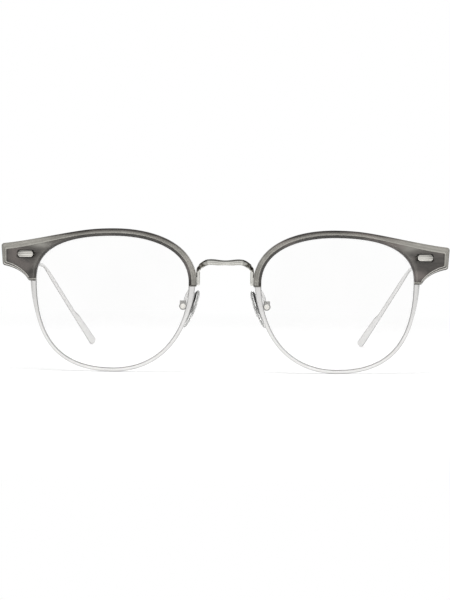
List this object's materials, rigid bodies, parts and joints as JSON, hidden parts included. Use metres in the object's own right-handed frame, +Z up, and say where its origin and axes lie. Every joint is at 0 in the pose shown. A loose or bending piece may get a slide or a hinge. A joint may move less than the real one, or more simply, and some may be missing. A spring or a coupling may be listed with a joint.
{
  "type": "browline eyeglasses",
  "caption": "Browline eyeglasses: metal eyewires and bridge under shaped dark brows, clear lenses, rocking nose pads on wire arms, and slim metal temples that fold in.",
  "frame": {"origin": "middle of the bounding box on the table plane, with the temples open", "axes": "+X to the wearer's left along the front, +Y from the front back towards the ears, +Z up; the front faces -Y"},
  "size_m": [0.146, 0.1292, 0.0464],
  "materials": {
    "frame_metal": "satin silver-coloured metal, softly polished",
    "temple_metal": "satin silver-coloured flat spring metal",
    "hinge_metal": "machined metal, fine satin",
    "screw_steel": "small turned and polished steel screws",
    "plaque_metal": "polished with fine lengthwise lines",
    "brow_acetate": "dark taupe-grey acetate with a soft streak, satin-gloss, paler along its bevels",
    "lens": "clear and colourless, polished",
    "pad_silicone": "clear soft silicone",
    "pad_metal": "thin bright metal core"
  },
  "bodies": {
    "front": {"bridge": "frame_metal", "right_brow": "brow_acetate", "left_brow": "brow_acetate", "right_eyewire": "frame_metal", "left_eyewire": "frame_metal", "right_lens": "lens", "left_lens": "lens", "right_rim_lock": "frame_metal", "left_rim_lock": "frame_metal", "right_rim_lock_screw": "screw_steel", "left_rim_lock_screw": "screw_steel", "right_brow_lugs": "frame_metal", "left_brow_lugs": "frame_metal", "right_brow_screws": "screw_steel", "left_brow_screws": "screw_steel", "right_plaque": "plaque_metal", "left_plaque": "plaque_metal", "right_hinge_front": "hinge_metal", "left_hinge_front": "hinge_metal", "right_hinge_screw": "screw_steel", "left_hinge_screw": "screw_steel", "right_pad_arm": "frame_metal", "left_pad_arm": "frame_metal", "right_pad_box": "frame_metal", "left_pad_box": "frame_metal", "right_pad_screw": "screw_steel", "left_pad_screw": "screw_steel"},
    "right_temple": {"right_temple": "temple_metal", "right_hinge_rear": "hinge_metal"},
    "left_temple": {"left_temple": "temple_metal", "left_hinge_rear": "hinge_metal"},
    "right_pad": {"right_pad": "pad_silicone", "right_pad_core": "pad_metal"},
    "left_pad": {"left_pad": "pad_silicone", "left_pad_core": "pad_metal"}
  },
  "joints": [
    {"name": "right_temple_fold", "type": "hinge", "parent": "front", "child": "right_temple", "pos_m": [-0.0679, -0.05212, 0.0378], "axis": [0, 0, -1], "range_deg": [0, 80]},
    {"name": "left_temple_fold", "type": "hinge", "parent": "front", "child": "left_temple", "pos_m": [0.0679, -0.05212, 0.0378], "axis": [0, 0, 1], "range_deg": [0, 84]},
    {"name": "right_pad_rock", "type": "hinge", "parent": "front", "child": "right_pad", "pos_m": [-0.01373, -0.05407, 0.02118], "axis": [0, 1, 0], "range_deg": [-12, 12]},
    {"name": "left_pad_rock", "type": "hinge", "parent": "front", "child": "left_pad", "pos_m": [0.01373, -0.05407, 0.02118], "axis": [0, 1, 0], "range_deg": [-12, 12]}
  ]
}
